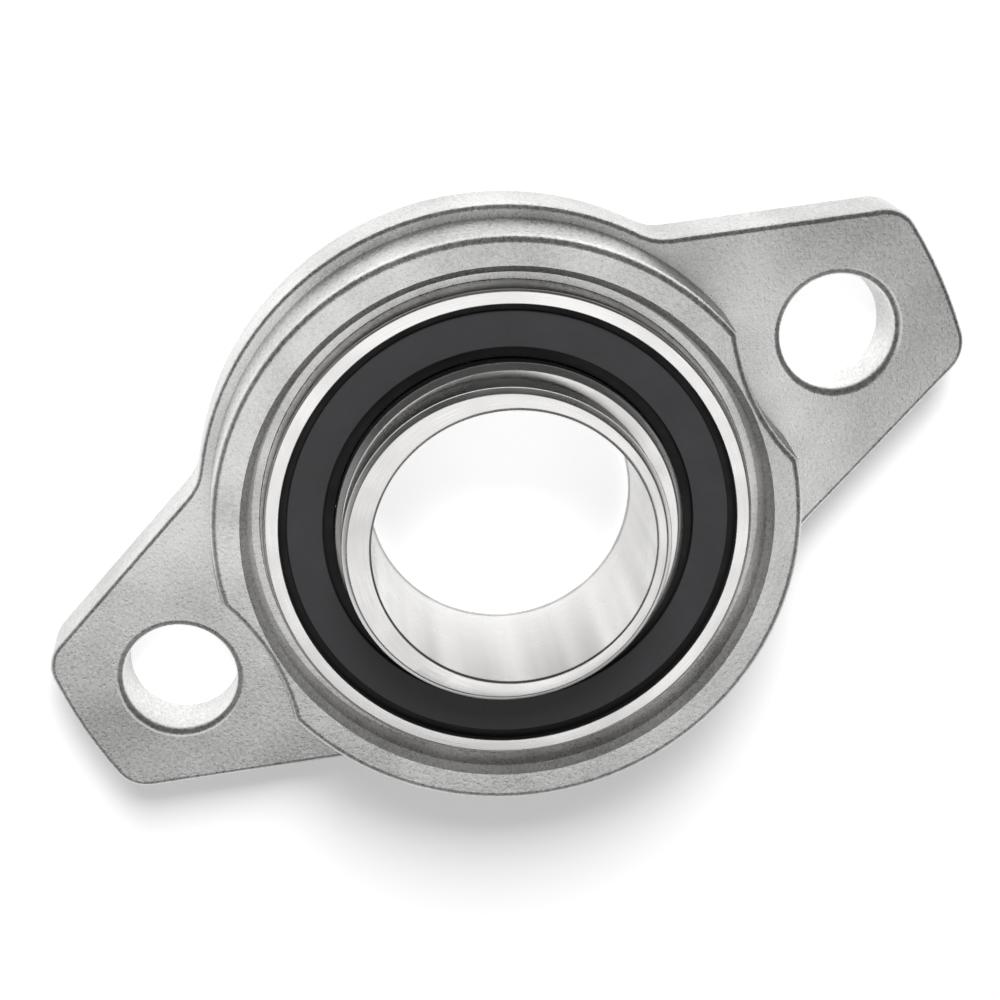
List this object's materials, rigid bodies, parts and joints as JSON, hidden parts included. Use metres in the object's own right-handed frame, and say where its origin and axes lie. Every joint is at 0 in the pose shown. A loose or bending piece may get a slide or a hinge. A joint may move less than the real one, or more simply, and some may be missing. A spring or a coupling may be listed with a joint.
{
  "type": "flange bearing unit",
  "caption": "Rhombic flange bearing unit with bolt holes in its ears: a sealed ball bearing insert with an off-centre inner ring nose turns and self-aligns in a die-cast housing.",
  "frame": {"origin": "centre of the flat mounting face, on the bearing axis", "axes": "+X along the long axis through the bolt holes, +Z along the bearing axis out of the front, +Y across the flange"},
  "size_m": [0.112, 0.07, 0.021],
  "materials": {
    "die_cast_alloy": "matte die-cast zinc alloy, light grey, finely mottled",
    "outer_ring_steel": "ground bearing steel",
    "inner_ring_steel": "ground and polished bearing steel",
    "ball_steel": "polished bearing steel",
    "cage_steel": "pressed steel strip",
    "rivet_steel": "drawn steel",
    "seal_rubber": "matte black moulded rubber",
    "core_steel": "pressed steel sheet"
  },
  "bodies": {
    "housing": {"housing": "die_cast_alloy"},
    "outer_ring": {"outer_ring": "outer_ring_steel", "front_seal": "seal_rubber", "front_seal_core": "core_steel", "back_seal": "seal_rubber", "back_seal_core": "core_steel"},
    "inner_ring": {"inner_ring": "inner_ring_steel"},
    "cage": {"cage_front": "cage_steel", "cage_back": "cage_steel", "cage_rivets": "rivet_steel"},
    "ball_1": {"ball_1": "ball_steel"},
    "ball_2": {"ball_2": "ball_steel"},
    "ball_3": {"ball_3": "ball_steel"},
    "ball_4": {"ball_4": "ball_steel"},
    "ball_5": {"ball_5": "ball_steel"},
    "ball_6": {"ball_6": "ball_steel"},
    "ball_7": {"ball_7": "ball_steel"},
    "ball_8": {"ball_8": "ball_steel"},
    "ball_9": {"ball_9": "ball_steel"},
    "ball_10": {"ball_10": "ball_steel"},
    "ball_11": {"ball_11": "ball_steel"}
  },
  "joints": [
    {"name": "insert_tilt", "type": "hinge", "parent": "housing", "child": "outer_ring", "pos_m": [0, 0, 0.0085], "axis": [1, 0, 0], "range_deg": [-2, 2]},
    {"name": "inner_ring_spin", "type": "hinge", "parent": "outer_ring", "child": "inner_ring", "pos_m": [0, 0, 0.0085], "axis": [0, 0, 1], "continuous": true},
    {"name": "cage_spin", "type": "hinge", "parent": "outer_ring", "child": "cage", "pos_m": [0, 0, 0.0085], "axis": [0, 0, 1], "continuous": true},
    {"name": "ball_1_roll", "type": "hinge", "parent": "cage", "child": "ball_1", "pos_m": [0.02125, 0, 0.0085], "axis": [0, 0, 1], "continuous": true},
    {"name": "ball_2_roll", "type": "hinge", "parent": "cage", "child": "ball_2", "pos_m": [0.01788, 0.01149, 0.0085], "axis": [0, 0, 1], "continuous": true},
    {"name": "ball_3_roll", "type": "hinge", "parent": "cage", "child": "ball_3", "pos_m": [0.00883, 0.01933, 0.0085], "axis": [0, 0, 1], "continuous": true},
    {"name": "ball_4_roll", "type": "hinge", "parent": "cage", "child": "ball_4", "pos_m": [-0.00302, 0.02103, 0.0085], "axis": [0, 0, 1], "continuous": true},
    {"name": "ball_5_roll", "type": "hinge", "parent": "cage", "child": "ball_5", "pos_m": [-0.01392, 0.01606, 0.0085], "axis": [0, 0, 1], "continuous": true},
    {"name": "ball_6_roll", "type": "hinge", "parent": "cage", "child": "ball_6", "pos_m": [-0.02039, 0.00599, 0.0085], "axis": [0, 0, 1], "continuous": true},
    {"name": "ball_7_roll", "type": "hinge", "parent": "cage", "child": "ball_7", "pos_m": [-0.02039, -0.00599, 0.0085], "axis": [0, 0, 1], "continuous": true},
    {"name": "ball_8_roll", "type": "hinge", "parent": "cage", "child": "ball_8", "pos_m": [-0.01392, -0.01606, 0.0085], "axis": [0, 0, 1], "continuous": true},
    {"name": "ball_9_roll", "type": "hinge", "parent": "cage", "child": "ball_9", "pos_m": [-0.00302, -0.02103, 0.0085], "axis": [0, 0, 1], "continuous": true},
    {"name": "ball_10_roll", "type": "hinge", "parent": "cage", "child": "ball_10", "pos_m": [0.00883, -0.01933, 0.0085], "axis": [0, 0, 1], "continuous": true},
    {"name": "ball_11_roll", "type": "hinge", "parent": "cage", "child": "ball_11", "pos_m": [0.01788, -0.01149, 0.0085], "axis": [0, 0, 1], "continuous": true}
  ],
  "couplings": [
    {"joint": "cage_spin", "follows": "inner_ring_spin", "ratio": 0.41595},
    {"joint": "ball_1_roll", "follows": "inner_ring_spin", "ratio": -2.8905},
    {"joint": "ball_2_roll", "follows": "inner_ring_spin", "ratio": -2.8905},
    {"joint": "ball_3_roll", "follows": "inner_ring_spin", "ratio": -2.8905},
    {"joint": "ball_4_roll", "follows": "inner_ring_spin", "ratio": -2.8905},
    {"joint": "ball_5_roll", "follows": "inner_ring_spin", "ratio": -2.8905},
    {"joint": "ball_6_roll", "follows": "inner_ring_spin", "ratio": -2.8905},
    {"joint": "ball_7_roll", "follows": "inner_ring_spin", "ratio": -2.8905},
    {"joint": "ball_8_roll", "follows": "inner_ring_spin", "ratio": -2.8905},
    {"joint": "ball_9_roll", "follows": "inner_ring_spin", "ratio": -2.8905},
    {"joint": "ball_10_roll", "follows": "inner_ring_spin", "ratio": -2.8905},
    {"joint": "ball_11_roll", "follows": "inner_ring_spin", "ratio": -2.8905}
  ]
}
